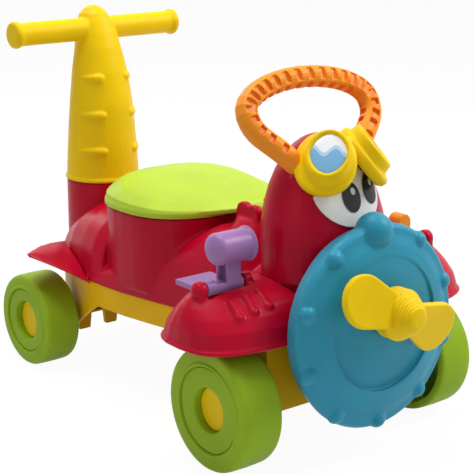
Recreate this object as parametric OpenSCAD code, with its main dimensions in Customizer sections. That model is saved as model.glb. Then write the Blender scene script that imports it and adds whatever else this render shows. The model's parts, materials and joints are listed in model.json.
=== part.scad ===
// Ride-on airplane toy: a child sits on the hinged seat, holds the loop and pushes with the feet.
// Sizes in millimetres. +Z is up, -Y is the nose, +X is the toy's left side.
// Inside the modules y is measured from the front axle; framed() moves it to the middle of the toy.

/* [Wheels] */
// Radius of the front wheels
front_wheel_r = 70; // [66:1:71]
// Width of the front wheels
front_wheel_w = 50; // [44:1:52]
// Outer face of the front wheels, from the middle plane
front_face_x = 172; // [168:1:178]
// Radius of the rear wheels
rear_wheel_r = 60; // [56:1:62]
// Width of the rear wheels
rear_wheel_w = 48; // [42:1:49]
// Outer face of the rear wheels, from the middle plane
rear_face_x = 151; // [150:1:158]
// Distance between the axles
wheelbase = 416; // [410:1:420]
// Diameter of the steel axles
axle_d = 8; // [6:0.5:10]
// Rounding of the tyre shoulders
shoulder_r = 9; // [4:0.5:12]
// Thickness of the tyre wall
tyre_wall = 7; // [5:0.5:9]
// Radius of the hole that shows the hub cap
hub_hole_r = 25; // [22:0.5:28]
// Depth of the hub cap below the outer face
cap_depth = 10; // [8:0.5:12]
// Thickness of the hub cap
cap_t = 3; // [2:0.5:4]

/* [Chassis] */
// Height of the seam between chassis and body
seam_z = 125; // [122:0.5:128]
// Height of the chassis tray
tray_h = 30; // [26:1:34]
// Wall of the moulded shells
wall = 3; // [2.5:0.1:4]
// Half width of the front axle box
front_box_hw = 108; // [100:1:110]
// Top of the front axle box beside the body
front_box_top = 142; // [132:1:143]
// Depth of the axle boxes below the axle line
box_drop = 14; // [12:1:18]
// Clearance of the anti-tip foot above the ground
foot_z = 20; // [15:1:30]

/* [Body] */
// Half width of the deck under the head
nose_hw = 66; // [60:1:70]
// Height of the deck under the head
head_deck_z = 197; // [190:1:200]
// Height of the deck in front of the seat
deck_top_z = 229; // [224:1:229.5]
// Half width of the seat tub at its rim
tub_hw = 104; // [98:1:106]
// Height of the tub rim
tub_rim_z = 230; // [228:1:236]
// Middle of the tub, behind the front axle
tub_y = 255; // [252:1:260]
// Length of the tub in front of its middle
tub_front = 92; // [88:1:95]
// Length of the tub behind its middle
tub_rear = 83; // [76:1:86]
// Height of the floor of the storage bin
bin_floor_z = 138; // [134:1:150]

/* [Seat] */
// How far the seat rim stands out over the tub
seat_overhang = 2.5; // [2:0.5:7]
// Height of the seat's crease above its rim
seat_crease_h = 23; // [20:1:28]
// Height of the seat's crown above its crease
seat_crown_h = 5; // [4:1:12]
// Half width of the seat at its crease
seat_crease_hw = 86; // [66:1:92]
// Opening angle of the seat
seat_open = 75; // [45:1:80]
// Hinge line, behind the front axle
hinge_y = 121; // [119:1:124]
// Height of the hinge line
hinge_z = 244; // [242:1:247]
// Diameter of the hinge and lever pins
pin_d = 6; // [4:0.5:7]

/* [Wings] */
// Outer edge of the wings, from the middle plane
wing_x = 198; // [190:1:202]
// Height of the wing lip
wing_lip_z = 145; // [144:1:150]
// Height of the wing dome above the lip
wing_rise = 60; // [54:1:62]
// Middle of the wing, behind the front axle
wing_y = 14; // [12:1:18]
// Half length of the wing
wing_hl = 66; // [62:1:67]

/* [Levers] */
// Lever pivot, behind the front axle
lever_y = 12; // [8:1:16]
// Height of the lever pivot
lever_z = 203; // [202:0.5:208]
// Height of the knob above the pivot
lever_len = 42; // [38:0.5:46]
// Radius of the knob
knob_r = 17.5; // [15:0.5:19]
// Height of the left handle above its pivot
paddle_len = 37; // [31:0.5:40]

/* [Head] */
// Half width of the head
head_a = 80; // [76:1:82]
// Half depth of the head
head_b = 60; // [57:1:61]
// Height of the crown of the head
head_top_z = 351; // [345:1:356]
// Height at which the head is widest
head_mid_z = 220; // [215:1:225]
// Radius of the loop tube
loop_r = 12.5; // [11:0.5:13.5]
// Half width of the loop, to the middle of its tube
loop_hw = 89.5; // [86:0.5:96]
// Height of the loop's top above the crown of the head, to the middle of its tube
loop_rise = 57.5; // [53:0.5:65]
// Radius of the goggle lenses
lens_r = 20.5; // [18:0.5:21.5]

/* [Nose] */
// Radius of the nose disc
disc_r = 115; // [110:1:118]
// Height of the middle of the nose disc
disc_z = 151; // [149:1:154]
// Height of the propeller's axis
prop_z = 174; // [172:1:178]
// Reach of the propeller blades from the axis
blade_reach = 88; // [82:1:94]
// Diameter of the propeller shaft
shaft_d = 10; // [8:0.5:12]

/* [Push handle] */
// Distance of the handle column behind the rear axle
column_back = 34; // [32:1:38]
// Radius of the red socket
socket_r = 48.5; // [47:0.5:50]
// Height of the socket's shoulder
socket_z = 226; // [220:1:230]
// Height of the cross bar
bar_z = 425; // [410:1:435]
// Radius of the cross bar
bar_r = 15; // [13:0.5:17]
// Half length of the cross bar, to the end knobs
bar_hl = 119; // [105:1:125]

/* [Hidden] */

// Fits and gaps
run_gap = 0.05;
side_gap = 0.5;
skin_gap = 0.3;

// Points round a closed ring, and round things that a bore or pin depends on
ring_n = 40;
$fn = 64;

right = -1;
left = 1;
reach = 1000;

// Where the toy's middle lies between its nose and its tail
prop_tip_y = -145;
lip_proud = 2;
column_y = wheelbase + column_back;
handle_lip_r = socket_r + lip_proud;
mid_y = (prop_tip_y + column_y + handle_lip_r) / 2;

// Axles and hubs
axle_r = axle_d / 2;
bore_r = axle_r + run_gap;
hub_over = 1.5;
hub_wall = 6;
hub_r = axle_r + hub_wall;
nut_wall = 5;
nut_r = axle_r + nut_wall;
nut_t = 3;
nut_room = 3;
nut_room_r = nut_r + nut_room;
cup_wall = 4;
hub_face = cap_depth + cap_t + 6;
flange_t = 2.5;
flange_r = axle_r + hub_wall;
bush_wall = 2.5;
sleeve_r = axle_r + bush_wall;
sleeve_len = 14;
boss_edge = 1.5;
boss_r = flange_r + boss_edge;
pin_r = pin_d / 2;
screw_r = 2;
screw_head_r = 4.5;
screw_head_t = 2.4;

// Deck and haunch: y, half width, height of the crown
deck_front_y = -48;
deck_end_y = 0.805 * wheelbase;
deck_stations = [[deck_front_y, nose_hw, head_deck_z], [20, nose_hw, head_deck_z],
  [70, nose_hw + 2, head_deck_z], [0.212 * wheelbase, 76, deck_top_z - 8], [0.26 * wheelbase, 80, deck_top_z],
  [0.36 * wheelbase, 83, deck_top_z - 3], [0.442 * wheelbase, 88, deck_top_z - 19],
  [0.519 * wheelbase, 94, deck_top_z - 38], [0.625 * wheelbase, 101, deck_top_z - 57],
  [0.721 * wheelbase, 104, deck_top_z - 71], [deck_end_y, 104, deck_top_z - 79]];
haunch_stations = [[wheelbase - 108, 100, 206], [wheelbase - 88, 103, 213], [wheelbase - 56, 98, 212],
  [wheelbase - 16, 88, 203], [wheelbase + 20, 74, 182], [wheelbase + 50, 57, 156], [wheelbase + 72, 38, 135]];
arch_n = 28;
deck_shape = 3.2;
haunch_shape = 3;

// Lip of the chassis in plan, and the bottom line of its side
tray_z = seam_z - tray_h;
front_box_y = 25;
rear_box_y = 30;
tray_rear_y = wheelbase + 72;
tray_inset = 1.5;

// Head
head_y = 7;
head_lean = 0.1;
head_h = head_top_z - head_mid_z;
loop_y = 34;
loop_lean = 30.5;
loop_mid_z = head_top_z + 29;
loop_top_z = head_top_z + loop_rise;
loop_base = [45, head_top_z - 29];
loop_side_z = loop_top_z - 31.5;
collar_r = loop_r + 3.5;
plate_t = 1.2;
plate_gap = 0.5;
plate_mid_z = 292;
plate_hw = 46;
plate_hh = 35;
plate_up = 42;
plate_narrow = 0.75;
pupil_x = 16;
pupil_z = 291;
pupil_shift = 12.5;
pupil_hw = 12.5;
pupil_hh = 16;
pupil_t = 0.6;
cup_axis = [0.6, -0.5, 0.62];
lens_mid = [34.5, -37, 341.5];
goggle_low_z = 286;
cup_rim = 5.2;
cup_depth = 32;
cup_flare = 6;
brim_out = 4;
brim_h = 23;
cup_skew = [1, 14];
cup_tilt = 0.2;
lens_tall = 1.16;
lens_wide = 0.97;
lens_shape = 1.75;
lens_t = 2.5;
lens_sink = 2;

// Nose
disc_back_y = -56;
disc_wide_y = -74;
disc_front_y = -104;
disc_lean = 2;
bolt_x = 42;
bolt_z = 166;
hub_base_r = 28;
hub_tip_r = 11;
hub_gap = 1.5;

// Handle column: height, radius and middle
column_top_z = 455;
spigot_r = 40;
spigot_top_z = 275;
column_stations = [[socket_z, handle_lip_r, 0], [socket_z + 4, handle_lip_r, 0], [socket_z + 6, 48.5, 0],
  [259, 47, 0], [295, 44.6, 0], [328, 42, 0], [371, 36.7, 2], [402, 30.6, 5], [421, 27, 9], [435, 23, 12],
  [445, 18.4, 14], [452, 11, 15], [column_top_z, 4, 15.5]];

// Ears for the levers
ear_t = 10;
ear_r = 9;
ear_out_x = 176;
ear_in_x = 104;

function bend(v, e) = sign(v) * pow(abs(v), e);
function mix(a, b, t) = a + (b - a) * t;
function unit(v) = v / norm(v);
function look(t, y, k) = lookup(y, [for (s = t) [s[0], s[k]]]);

// Ring lying flat: half sizes a and b, squareness n, middle c
function flat_ring(a, b, n, c, z) = [for (i = [0:ring_n - 1]) let (t = 360 * i / ring_n)
  [c[0] + a * bend(cos(t), 2 / n), c[1] + b * bend(sin(t), 2 / n), z]];

// Ring standing across the toy: an arch on a flat foot
function arch_ring(hw, foot, crown, n, y) = [for (i = [0:arch_n]) let (t = 180 * i / arch_n)
  [-hw * bend(cos(t), 2 / n), y, foot + (crown - foot) * bend(sin(t), 2 / n)]];

function strip(a, b, n) = [for (j = [0:n - 1]) let (k = (j + 1) % n)
  each [[a + j, b + j, b + k], [a + j, b + k, a + k]]];
function cap(first, n, up) = [for (j = [0:n - 1]) first + (up ? n - 1 - j : j)];

// Solid between stacked rings
module loft(rings) {
  n = len(rings[0]);
  m = len(rings);
  polyhedron(points = [for (r = rings) each r], convexity = 6,
    faces = concat([cap(0, n, false)], [for (i = [0:m - 2]) each strip(i * n, (i + 1) * n, n)],
      [cap((m - 1) * n, n, true)]));
}

// Cup standing on its rim: outer rings up from the rim, inner rings back down to it
module cup(outer, inner) {
  n = len(outer[0]);
  m = len(outer);
  rings = concat(outer, inner);
  last = len(rings) - 1;
  polyhedron(points = [for (r = rings) each r], convexity = 6,
    faces = concat([for (i = [0:m - 2]) each strip(i * n, (i + 1) * n, n)],
      [cap((m - 1) * n, n, true), cap(m * n, n, false)],
      [for (i = [m:last - 1]) each strip(i * n, (i + 1) * n, n)], strip(last * n, 0, n)));
}

module framed() translate([0, -mid_y, 0]) children();
module sided(side) if (side == right) mirror([1, 0, 0]) children(); else children();
module along_x(x, y, z) translate([x, y, z]) rotate([0, 90, 0]) children();
module along_y(x, y, z) translate([x, y, z]) rotate([90, 0, 0]) children();

// Wheels and axles

function quarter(c, r, from) = [for (t = [0:15:90]) c + r * [cos(from - t), sin(from - t)]];

module wheel_solid(r, w) {
  groove_r = r * 0.61;
  cup_r = hub_hole_r + cup_wall;
  web = 9;
  dish = 4;
  rotate_extrude() polygon(concat(
    [[hub_hole_r, -dish], [groove_r - 2, -1.5], [groove_r - 2, -3.5], [groove_r, -3.5], [groove_r, 0]],
    quarter([r - shoulder_r, -shoulder_r], shoulder_r, 90),
    quarter([r - shoulder_r, shoulder_r - w], shoulder_r, 0),
    [[r - tyre_wall - 2, -w], [r - tyre_wall - 2, -web], [cup_r, -web], [cup_r, -hub_face - cup_wall],
     [hub_r, -hub_face - cup_wall], [hub_r, -w - hub_over], [bore_r, -w - hub_over], [bore_r, -hub_face],
     [nut_room_r, -hub_face], [nut_room_r, -cap_depth - cap_t], [hub_hole_r, -cap_depth - cap_t]]));
  for (a = [0:60:300]) rotate(a) translate([cup_r - 1, -1.25, 10 - w])
    cube([r - tyre_wall - cup_r, 2.5, w - 10 - web + 1]);
}

module hub_cap_solid() {
  rim = hub_hole_r - run_gap;
  rotate_extrude() polygon([[0, 0], [0, -cap_t], [rim, -cap_t], [rim, -1], [rim - 1, 0]]);
}

module wheel(side, r, w, face_x, y) framed() color("yellowgreen")
  sided(side) along_x(face_x, y, r) wheel_solid(r, w);
module hub_cap(side, r, face_x, y) framed() color("gold")
  sided(side) along_x(face_x - cap_depth, y, r) hub_cap_solid();

function nut_x(face_x) = face_x - hub_face + side_gap;
function boss_x(face_x, w) = face_x - w - hub_over - side_gap - flange_t;

module axle(r, face_x, y) framed() color("silver") {
  end_x = nut_x(face_x) + nut_t + 0.5;
  along_x(-end_x, y, r) cylinder(h = 2 * end_x, r = axle_r);
}
module bushes(r, face_x, w, y) framed() color("whitesmoke") for (side = [right, left])
  sided(side) along_x(boss_x(face_x, w), y, r) difference() {
    union() {
      cylinder(h = flange_t, r = flange_r);
      translate([0, 0, -sleeve_len]) cylinder(h = sleeve_len, r = sleeve_r);
    }
    translate([0, 0, -sleeve_len - 1]) cylinder(h = sleeve_len + flange_t + 2, r = bore_r);
  }
module push_nuts(r, face_x, y) framed() color("silver") for (side = [right, left])
  sided(side) along_x(nut_x(face_x), y, r) difference() {
    cylinder(h = nut_t, r = nut_r);
    translate([0, 0, -1]) cylinder(h = nut_t + 2, r = bore_r);
  }

module wheel_front_right() wheel(right, front_wheel_r, front_wheel_w, front_face_x, 0);
module wheel_front_left() wheel(left, front_wheel_r, front_wheel_w, front_face_x, 0);
module wheel_rear_right() wheel(right, rear_wheel_r, rear_wheel_w, rear_face_x, wheelbase);
module wheel_rear_left() wheel(left, rear_wheel_r, rear_wheel_w, rear_face_x, wheelbase);
module hub_cap_front_right() hub_cap(right, front_wheel_r, front_face_x, 0);
module hub_cap_front_left() hub_cap(left, front_wheel_r, front_face_x, 0);
module hub_cap_rear_right() hub_cap(right, rear_wheel_r, rear_face_x, wheelbase);
module hub_cap_rear_left() hub_cap(left, rear_wheel_r, rear_face_x, wheelbase);
module front_axle() axle(front_wheel_r, front_face_x, 0);
module rear_axle() axle(rear_wheel_r, rear_face_x, wheelbase);
module front_bushes() bushes(front_wheel_r, front_face_x, front_wheel_w, 0);
module rear_bushes() bushes(rear_wheel_r, rear_face_x, rear_wheel_w, wheelbase);
module front_push_nuts() push_nuts(front_wheel_r, front_face_x, 0);
module rear_push_nuts() push_nuts(rear_wheel_r, rear_face_x, wheelbase);

// Chassis

screw_places = [[55, tub_y - 50], [62, min(tub_y + 45, wheelbase - 116)], [40, wheelbase + 14]];
function deck_hw(y) = y <= deck_end_y ? look(deck_stations, y, 1) : look(haunch_stations, y, 1);
edge_ys = concat([for (p = deck_stations) if (p[0] > front_box_y + 20) p[0]],
  [for (p = haunch_stations) if (p[0] > deck_end_y + 1 && p[0] < tray_rear_y) p[0]]);

// Half width of the chassis from nose to tail
function tray_side(inset) = concat(
  [[-front_box_y + inset, front_box_hw - inset], [front_box_y - inset, front_box_hw - inset]],
  [for (y = concat([front_box_y + 8 - inset], edge_ys, [tray_rear_y - inset])) [y, deck_hw(y) - tray_inset - inset]]);
module tray_plan(inset) {
  side = tray_side(inset);
  polygon(concat([for (p = side) [p[1], p[0]]], [for (i = [len(side) - 1:-1:0]) [-side[i][1], side[i][0]]]));
}
// Side view of the chassis, raised by its floor for the hollow
module tray_profile(up) {
  top = up > 0 ? front_box_top + 9 : front_box_top;
  front_low = front_wheel_r - box_drop;
  rear_low = rear_wheel_r - box_drop;
  polygon([[-60, front_low + up], [front_box_y, front_low + up], [front_box_y + 14, tray_z + up],
    [wheelbase - 101, tray_z + up], [wheelbase - rear_box_y - 6, rear_low + 8 + up], [wheelbase - rear_box_y, rear_low + up],
    [wheelbase + rear_box_y, rear_low + up], [wheelbase + 52, tray_z + up], [tray_rear_y + 32, tray_z + 6 + up],
    [tray_rear_y + 32, seam_z + (up > 0 ? 9 : 0)], [front_box_y, seam_z + (up > 0 ? 9 : 0)], [front_box_y, top], [-60, top]]);
}
module tray_block(inset, up) intersection() {
  linear_extrude(reach) tray_plan(inset);
  rotate([90, 0, 90]) linear_extrude(reach, center = true) tray_profile(up);
}
module axle_boss(r, face_x, w, y, inner_x) for (side = [right, left]) sided(side)
  along_x(inner_x, y, r) cylinder(h = boss_x(face_x, w) - inner_x, r = boss_r);
module axle_hole(r, face_x, w, y) for (side = [right, left]) sided(side)
  along_x(boss_x(face_x, w) - sleeve_len - 20, y, r) cylinder(h = sleeve_len + 40, r = sleeve_r + run_gap);

leg_x = 43;
leg_t = 7.5;
leg_top_hw = 12;
leg_low_hw = 8.5;
module chassis() framed() color("goldenrod") difference() {
  union() {
    difference() {
      tray_block(0, 0);
      tray_block(wall, wall);
      // The body sits between the raised ends of the front box
      translate([-nose_hw - 2.5, -100, seam_z]) cube([2 * nose_hw + 5, 200, 100]);
    }
    axle_boss(front_wheel_r, front_face_x, front_wheel_w, 0, front_box_hw - wall - 4);
    axle_boss(rear_wheel_r, rear_face_x, rear_wheel_w, wheelbase, deck_hw(wheelbase) - tray_inset - wall - 6);
    // Anti-tip legs in a row under the tail
    for (x = [-leg_x, 0, leg_x]) translate([x, wheelbase + rear_box_y - 1, 0]) rotate([90, 0, 0])
      linear_extrude(leg_t) polygon([[-leg_low_hw, foot_z], [leg_low_hw, foot_z],
        [leg_top_hw, rear_wheel_r - box_drop + 1], [-leg_top_hw, rear_wheel_r - box_drop + 1]]);
    // Wells round the screws
    for (side = [right, left], p = screw_places) translate([side * p[0], p[1], low_at(p[1]) + 1]) cylinder(h = 8, r = 7);
  }
  // Open belly between the cheeks that carry the rear axle
  for (cut = [[wall + 1, -boss_r - 1], [wall + 8, 6]]) intersection() {
    linear_extrude(tray_z - 0.5) tray_plan(cut[0]);
    translate([-reach, wheelbase - 97, 0]) cube([2 * reach, 97 + cut[1], reach]);
  }
  axle_hole(front_wheel_r, front_face_x, front_wheel_w, 0);
  axle_hole(rear_wheel_r, rear_face_x, rear_wheel_w, wheelbase);
  for (side = [right, left], p = screw_places) translate([side * p[0], p[1], 0]) {
    cylinder(h = reach, r = screw_r + 0.3);
    cylinder(h = low_at(p[1]) + screw_head_t + 0.6, r = screw_head_r + 0.5);
  }
}
// Underside of the chassis at y
function low_at(y) = y > wheelbase - rear_box_y ? rear_wheel_r - box_drop : tray_z;

// Body shell

module arch_loft(stations, shape, inset, foot) loft([for (i = [0:len(stations) - 1]) let (s = stations[i],
    shift = i == 0 ? inset : (i == len(stations) - 1 ? -inset : 0))
  arch_ring(s[1] - inset, foot, s[2] - inset, shape, s[0] + shift)]);
module deck(inset, foot) arch_loft(deck_stations, deck_shape, inset, foot);
module haunch(inset, foot) arch_loft(haunch_stations, haunch_shape, inset, foot);

// Ring of the tub: rounder in front than behind, drawn in towards its floor
function egg_ring(hw, front, rear, n, z) = [for (p = flat_ring(hw, 1, n, [0, 0], z))
  [p[0], tub_y + p[1] * (p[1] < 0 ? front : rear), z]];
tub_draw = 3;
tub_shape = 2.5;
tub_low_z = bin_floor_z - wall;
module tub(inset, low) loft([for (z = [low, tub_rim_z + (inset > 0 ? 1 : 0)]) let (d = tub_draw * (tub_rim_z - z) / (tub_rim_z - tub_low_z) + inset)
  egg_ring(tub_hw - d, tub_front - d, tub_rear - d, tub_shape, z)]);

// Raised pad that the head stands on
pad_y = 6;
pad_hl = 53;
module head_pad(inset, low) loft([for (z = [low, head_deck_z - inset])
  flat_ring(nose_hw - 1 - inset, pad_hl - inset, 4, [0, pad_y], z)]);

hinge_ear_t = 9;
hinge_ear_x = 15;
hinge_pin_hl = hinge_ear_x + hinge_ear_t - 2.5;
module hinge_ears() for (side = [right, left]) sided(side) translate([hinge_ear_x, 0, 0]) rotate([90, 0, 90])
  linear_extrude(hinge_ear_t) {
      translate([hinge_y, hinge_z]) circle(r = 12);
      translate([hinge_y - 17, hinge_z]) circle(r = 11);
      translate([hinge_y - 28, deck_top_z - 12]) square([40, hinge_z - deck_top_z + 12]);
  }
module hinge_mound() difference() {
  loft([flat_ring(52, 34, 2.5, [0, hinge_y - 9], deck_top_z - 16), flat_ring(28, 25, 2.5, [0, hinge_y - 9], hinge_z - 6)]);
  translate([-hinge_ear_x, hinge_y - 12, hinge_z - 11]) cube([2 * hinge_ear_x, 60, 40]);
}

module body_shell() framed() color("crimson") {
  difference() {
    union() {
      difference() {
        union() {
          deck(0, seam_z);
          haunch(0, seam_z);
          head_pad(0, seam_z + 20);
          tub(0, tub_low_z);
          translate([0, column_y, seam_z + 5]) cylinder(h = socket_z - seam_z - 5, r = socket_r);
        }
        deck(wall, seam_z - 1);
        haunch(wall, seam_z - 1);
        head_pad(wall, seam_z - 2);
        translate([0, column_y, seam_z - 1]) cylinder(h = socket_z - seam_z - wall + 1, r = socket_r - wall);
      }
      difference() {
        tub(0, tub_low_z);
        tub(wall, bin_floor_z);
      }
      translate([0, column_y, socket_z - wall]) cylinder(h = spigot_top_z - socket_z + wall, r = spigot_r);
      // Bosses for the chassis screws
      for (side = [right, left], p = screw_places) translate([side * p[0], p[1], low_at(p[1]) + 9.2])
        cylinder(h = (p[1] > wheelbase ? seam_z + 53 : tub_low_z + 1) - low_at(p[1]) - 9.2, r = 6);
      hinge_ears();
      hinge_mound();
    }
    along_x(-hinge_pin_hl - 0.2, hinge_y, hinge_z) cylinder(h = 2 * hinge_pin_hl + 0.4, r = pin_r + run_gap);
    tub(wall, bin_floor_z);
    translate([0, column_y, seam_z]) cylinder(h = spigot_top_z - seam_z - wall, r = spigot_r - wall);
    for (side = [right, left], p = screw_places) translate([side * p[0], p[1], low_at(p[1])])
      cylinder(h = 24, r = screw_r + run_gap);
    // Holes for the nose disc screws
    for (side = [right, left]) along_y(side * bolt_x, deck_front_y + 10, bolt_z) cylinder(h = 20, r = screw_r + 0.3);
    // Holes for the head and wing screws
    for (side = [right, left]) {
      for (y = head_screw_ys) translate([side * head_screw_x, y, head_deck_z - 10]) cylinder(h = 20, r = screw_r + 0.3);
      for (y = wing_screw_ys) sided(side) along_x(nose_hw - 12, y, wing_screw_z) cylinder(h = 20, r = screw_r + 0.3);
    }
    // Holes for the handle screws
    for (side = [right, left]) rotate_about(side) cylinder(h = 60, r = screw_r + run_gap);
  }
}

// Handle screws come in from behind, to either side
handle_screw_z = 250;
handle_screw_turn = 25;
module rotate_about(side) translate([0, column_y, handle_screw_z]) rotate([-90, 0, -side * handle_screw_turn]) children();

// Screws that hold the head from below and the wings from inside
head_screw_x = 30;
head_screw_in = 40;
head_screw_len = 15;
wing_screw_len = 18;
chassis_screw_len = 22;
head_base_y = head_axis(head_deck_z);
head_screw_ys = [head_base_y - head_screw_in, head_base_y + head_screw_in];
wing_screw_z = 158;
wing_screw_ys = [wing_y - 25, wing_y + 25];
wing_skin_x = nose_hw - 6;
module head_screws() framed() color("dimgray") for (side = [right, left], y = head_screw_ys)
  translate([side * head_screw_x, y, head_deck_z - wall]) {
    cylinder(h = head_screw_len, r = screw_r);
    translate([0, 0, -screw_head_t]) cylinder(h = screw_head_t, r = screw_head_r);
  }
module wing_screws() framed() color("dimgray") for (side = [right, left], y = wing_screw_ys)
  sided(side) along_x(wing_skin_x, y, wing_screw_z) {
    cylinder(h = wing_screw_len, r = screw_r);
    translate([0, 0, -screw_head_t]) cylinder(h = screw_head_t, r = screw_head_r);
  }
module chassis_screws() framed() color("dimgray") for (side = [right, left], p = screw_places)
  translate([side * p[0], p[1], low_at(p[1])]) {
    cylinder(h = chassis_screw_len, r = screw_r);
    translate([0, 0, 0.4]) cylinder(h = screw_head_t, r = screw_head_r);
  }

// Wings

wing_cut_x = nose_hw + 0.3;
// How the dome closes with height: along the toy, across it and upwards
wing_close = [1.1, 0.32];
wing_swell = 0.83;
wing_shape = 3.2;
wing_top_shape = 2;
wing_rake = 10;
wing_steps = [0, 13, 26, 38, 50, 61, 71, 79, 84];
function wing_long(t) = pow(cos(t), wing_close[0]);
function wing_wide(t) = pow(cos(t), wing_close[1]);
function wing_up(t) = pow(sin(t), wing_swell);
function wing_n(t) = mix(wing_shape, wing_top_shape, min(1, 1.8 * sin(t)));
// Ring of the dome: rounder and further back towards the top
function wing_ring(grow, lift, t) = flat_ring((wing_x - wing_cut_x) * wing_wide(t) + grow,
  wing_hl * wing_long(t) + grow, wing_n(t), [wing_cut_x, wing_y + wing_rake * (1 - wing_long(t))], wing_lip_z + lift);
bead = 2.5;
// Hollow between the dome and the head
channel_r = 36;
module wing_channel(grow) translate([wing_cut_x - 4, -reach, head_deck_z + channel_r - 1]) rotate([-90, 0, 0])
  cylinder(h = 2 * reach, r = channel_r + grow);
module wing_shell() difference() {
  loft(concat([wing_ring(0, -bead, 0), wing_ring(bead, 0, 0), wing_ring(bead, bead, 0)],
    [for (t = wing_steps) wing_ring(0, 4 + (wing_rise - 4) * wing_up(t), t)]));
  wing_channel(0);
  difference() {
    loft(concat([wing_ring(-wall, -bead - 1, 0)], [for (t = wing_steps) wing_ring(-wall, 4 + (wing_rise - 4 - wall) * wing_up(t), t)]));
    wing_channel(wall);
  }
}

// Plan of the body that the wings end against
module wing_root() polygon(concat([[-reach, -reach], [wing_cut_x, -reach]],
  [for (p = deck_stations) if (p[0] > 0 && p[0] < 120) [p[1] + wing_cut_x - nose_hw, p[0]]], [[-reach, 120]]));

module lever_ears() for (x = [ear_in_x, ear_out_x - ear_t]) {
  along_x(x, lever_y, lever_z) cylinder(h = ear_t, r = ear_r);
  translate([x, lever_y - ear_r, lever_z - 30]) cube([ear_t, 2 * ear_r, 30]);
}
// Rounded outside of the outer ear
module ear_round() difference() {
  translate([ear_out_x - 6, lever_y, lever_z - 1]) sphere(r = ear_r + 1.5);
  translate([ear_out_x - ear_t + 0.4 - 50, lever_y - 50, lever_z - 50]) cube([50, 100, 100]);
}
slot_gap = 2;
slot_front = 11.5;
slot_back = 22;

// Drops moulded on the front of the dome: thick end low
drop_xs = [112, 131, 150];
drop_low = [36, 28];
drop_high = [58, 48];
drop_r = 6.4;
drop_tail_r = 3.6;
function drop_at(ends, x) = mix(ends[0], ends[1], (x - drop_xs[0]) / (drop_xs[2] - drop_xs[0]));
function wing_front(x, t) = let (n = wing_n(t), f = (x - wing_cut_x) / ((wing_x - wing_cut_x) * wing_wide(t)))
  [x, wing_y + wing_rake * (1 - wing_long(t)) - wing_hl * wing_long(t) * pow(max(0, 1 - pow(f, n)), 1 / n),
    wing_lip_z + 4 + (wing_rise - 4) * wing_up(t)];
module drop(a, b, r1, r2) {
  d = b - a;
  translate(a) {
    sphere(r = r1);
    rotate([0, acos(d[2] / norm(d)), atan2(d[1], d[0])]) cylinder(h = norm(d), r1 = 0.94 * r1, r2 = r2);
  }
}
module wing_drops() for (x = drop_xs)
  drop(wing_front(x, drop_at(drop_low, x)) + [0, 2, -2], wing_front(x, drop_at(drop_high, x)), drop_r, drop_tail_r);

module wing(side) framed() color("crimson") sided(side) difference() {
  union() {
    difference() {
      wing_shell();
      translate([ear_in_x + ear_t, lever_y - slot_front, wing_lip_z + 20])
        cube([ear_out_x - ear_in_x - 2 * ear_t, slot_front + (side == right ? plate_len + 4 : slot_back), reach]);
    }
    lever_ears();
    ear_round();
    wing_drops();
    // Screw bosses, hung from the roof on ribs
    for (y = wing_screw_ys) {
      along_x(wing_cut_x, y, wing_screw_z) cylinder(h = 16, r = 6);
      translate([wing_cut_x, y - 2, wing_screw_z]) cube([16, 4, head_deck_z - 1 - wall / 2 - wing_screw_z]);
    }
  }
  for (y = wing_screw_ys) along_x(wing_cut_x - 1, y, wing_screw_z) cylinder(h = 15, r = screw_r + run_gap);
  translate([0, 0, -1]) linear_extrude(reach) wing_root();
  // Room for the foot of the head
  translate([0, 0, head_deck_z - 8]) loft([for (z = [0, 100])
    flat_ring(head_a + 3 * skin_gap, head_b + 3 * skin_gap, 2, [0, head_axis(head_deck_z + 4)], z)]);
  along_x(ear_in_x + 2, lever_y, lever_z) cylinder(h = ear_out_x - ear_in_x - 4, r = pin_r + run_gap);
}
module wing_right() wing(right);
module wing_left() wing(left);

// Levers

plate_len = 52;
knob_in_x = 109;
knob_out_x = 150;
stalk_in_x = 121;
stalk_out_x = 140;
module lever_solid() {
  x0 = ear_in_x + ear_t + slot_gap;
  x1 = ear_out_x - ear_t - slot_gap;
  difference() {
    union() {
      along_x(x0, 0, 0) cylinder(h = x1 - x0, r = ear_r - 1);
      translate([stalk_in_x, -9, 0]) cube([stalk_out_x - stalk_in_x, 20, lever_len]);
      translate([x0, 0, -7]) cube([x1 - x0, plate_len, 6]);
      // Knob: a drum with a flared inner rim and a domed outer end
      along_x(knob_in_x, -4, lever_len) rotate_extrude() polygon(concat([[0, 0], [knob_r + 2, 0], [knob_r + 2, 2], [knob_r, 4]],
        [for (t = [0:15:75]) [knob_r * cos(t), knob_out_x - knob_in_x + 10 * sin(t)]],
        [[0, knob_out_x - knob_in_x + 10]]));
    }
    along_x(x0 - 1, 0, 0) cylinder(h = x1 - x0 + 2, r = pin_r + run_gap);
    // Moulded pocket in the outer face of the stalk
    translate([stalk_out_x - 8, -6, 4]) cube([20, 13, lever_len - knob_r - 5]);
  }
}
// Handle on the left wing: a round-topped paddle on the same kind of barrel
paddle_x = 126;
paddle_hw = 10;
paddle_t = 18;
module paddle_solid() {
  x0 = ear_in_x + ear_t + slot_gap;
  x1 = ear_out_x - ear_t - slot_gap;
  difference() {
    union() {
      along_x(x0, 0, 0) cylinder(h = x1 - x0, r = ear_r - 1);
      translate([paddle_x, paddle_t / 2, 0]) rotate([90, 0, 0]) linear_extrude(paddle_t) union() {
        translate([0, paddle_len - paddle_hw]) circle(r = paddle_hw);
        translate([-paddle_hw, 0]) square([2 * paddle_hw, paddle_len - paddle_hw]);
      }
    }
    along_x(x0 - 1, 0, 0) cylinder(h = x1 - x0 + 2, r = pin_r + run_gap);
  }
}
module lever_right() framed() color("mediumpurple")
  sided(right) translate([0, lever_y, lever_z]) lever_solid();
module lever_left() framed() color("orange")
  sided(left) translate([0, lever_y, lever_z]) paddle_solid();
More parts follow.
